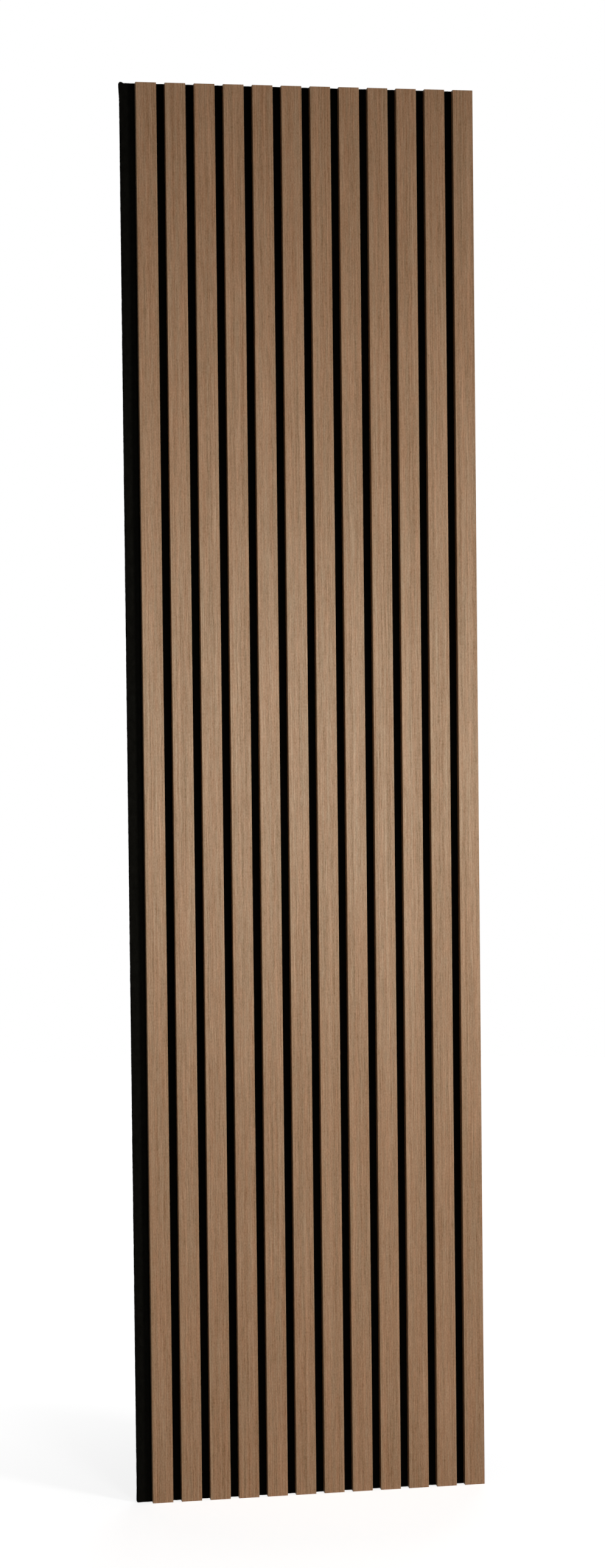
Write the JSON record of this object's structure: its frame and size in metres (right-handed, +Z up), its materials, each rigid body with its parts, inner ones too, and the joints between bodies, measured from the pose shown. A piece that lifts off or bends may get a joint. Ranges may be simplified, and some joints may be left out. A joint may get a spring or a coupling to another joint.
{
  "type": "acoustic panel",
  "caption": "Slatted wall panel that absorbs sound: straight wood-veneered slats, side by side with open grooves between them, on a black felt board.",
  "frame": {"origin": "middle of the felt's back face, which lies on the wall", "axes": "X across the panel to the right as seen from the front, +Y from the room into the wall, so the slats face -Y, and +Z up along the slats"},
  "size_m": [0.605, 0.021, 2.4],
  "materials": {
    "veneer": "matt, straight fine grain along the slat",
    "fibreboard": "sawn, fine and even, no grain",
    "felt": "pressed fibres, matt, slightly fuzzy edges",
    "staple_steel": "galvanised wire"
  },
  "bodies": {
    "root": {"felt_backing": "felt", "staples": "staple_steel", "slat_core_01": "fibreboard", "slat_core_02": "fibreboard", "slat_core_03": "fibreboard", "slat_core_04": "fibreboard", "slat_core_05": "fibreboard", "slat_core_06": "fibreboard", "slat_core_07": "fibreboard", "slat_core_08": "fibreboard", "slat_core_09": "fibreboard", "slat_core_10": "fibreboard", "slat_core_11": "fibreboard", "slat_core_12": "fibreboard", "slat_veneer_01": "veneer", "slat_veneer_02": "veneer", "slat_veneer_03": "veneer", "slat_veneer_04": "veneer", "slat_veneer_05": "veneer", "slat_veneer_06": "veneer", "slat_veneer_07": "veneer", "slat_veneer_08": "veneer", "slat_veneer_09": "veneer", "slat_veneer_10": "veneer", "slat_veneer_11": "veneer", "slat_veneer_12": "veneer"}
  },
  "joints": []
}
